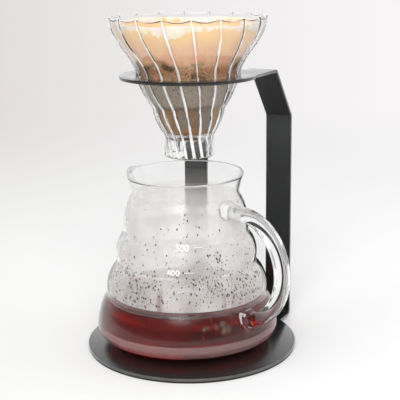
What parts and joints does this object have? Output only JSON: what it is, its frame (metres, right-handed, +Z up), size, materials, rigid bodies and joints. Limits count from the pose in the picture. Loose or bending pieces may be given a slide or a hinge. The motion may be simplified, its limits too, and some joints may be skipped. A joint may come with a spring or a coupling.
{
  "type": "pour-over dripper stand",
  "caption": "Bent sheet stand with a round base, flat rear legs and a ring that hangs a fluted glass dripper, with paper filter and grounds, over a stacked-bulge glass server with loop handle.",
  "frame": {"origin": "centre of the pad's underside, on the axis of the base and of the ring", "axes": "+Z up, +Y from the axis towards the legs, +X to the right seen from the open front"},
  "size_m": [0.1467, 0.139, 0.2122],
  "materials": {
    "black_steel": "fine matte powder coat",
    "pad_rubber": "matte",
    "dripper_glass": "clear, fluted",
    "server_glass": "clear",
    "filter_paper": "wet paper, stained",
    "wet_grounds": "wet, granular",
    "coffee": "clear dark liquid"
  },
  "bodies": {
    "stand": {"stand_frame": "black_steel", "anti_slip_pad": "pad_rubber"},
    "server": {"server_body": "server_glass", "server_handle": "server_glass", "brewed_coffee": "coffee"},
    "dripper": {"dripper": "dripper_glass"},
    "filter": {"paper_filter": "filter_paper", "coffee_bed": "wet_grounds"}
  },
  "joints": [
    {"name": "server_draw", "type": "slide", "parent": "stand", "child": "server", "axis": [0, -1, 0], "range_m": [0, 0.18]},
    {"name": "dripper_lift", "type": "slide", "parent": "stand", "child": "dripper", "axis": [0, 0, 1], "range_m": [0, 0.11]},
    {"name": "filter_lift", "type": "slide", "parent": "dripper", "child": "filter", "axis": [0, 0, 1], "range_m": [0, 0.09]}
  ]
}
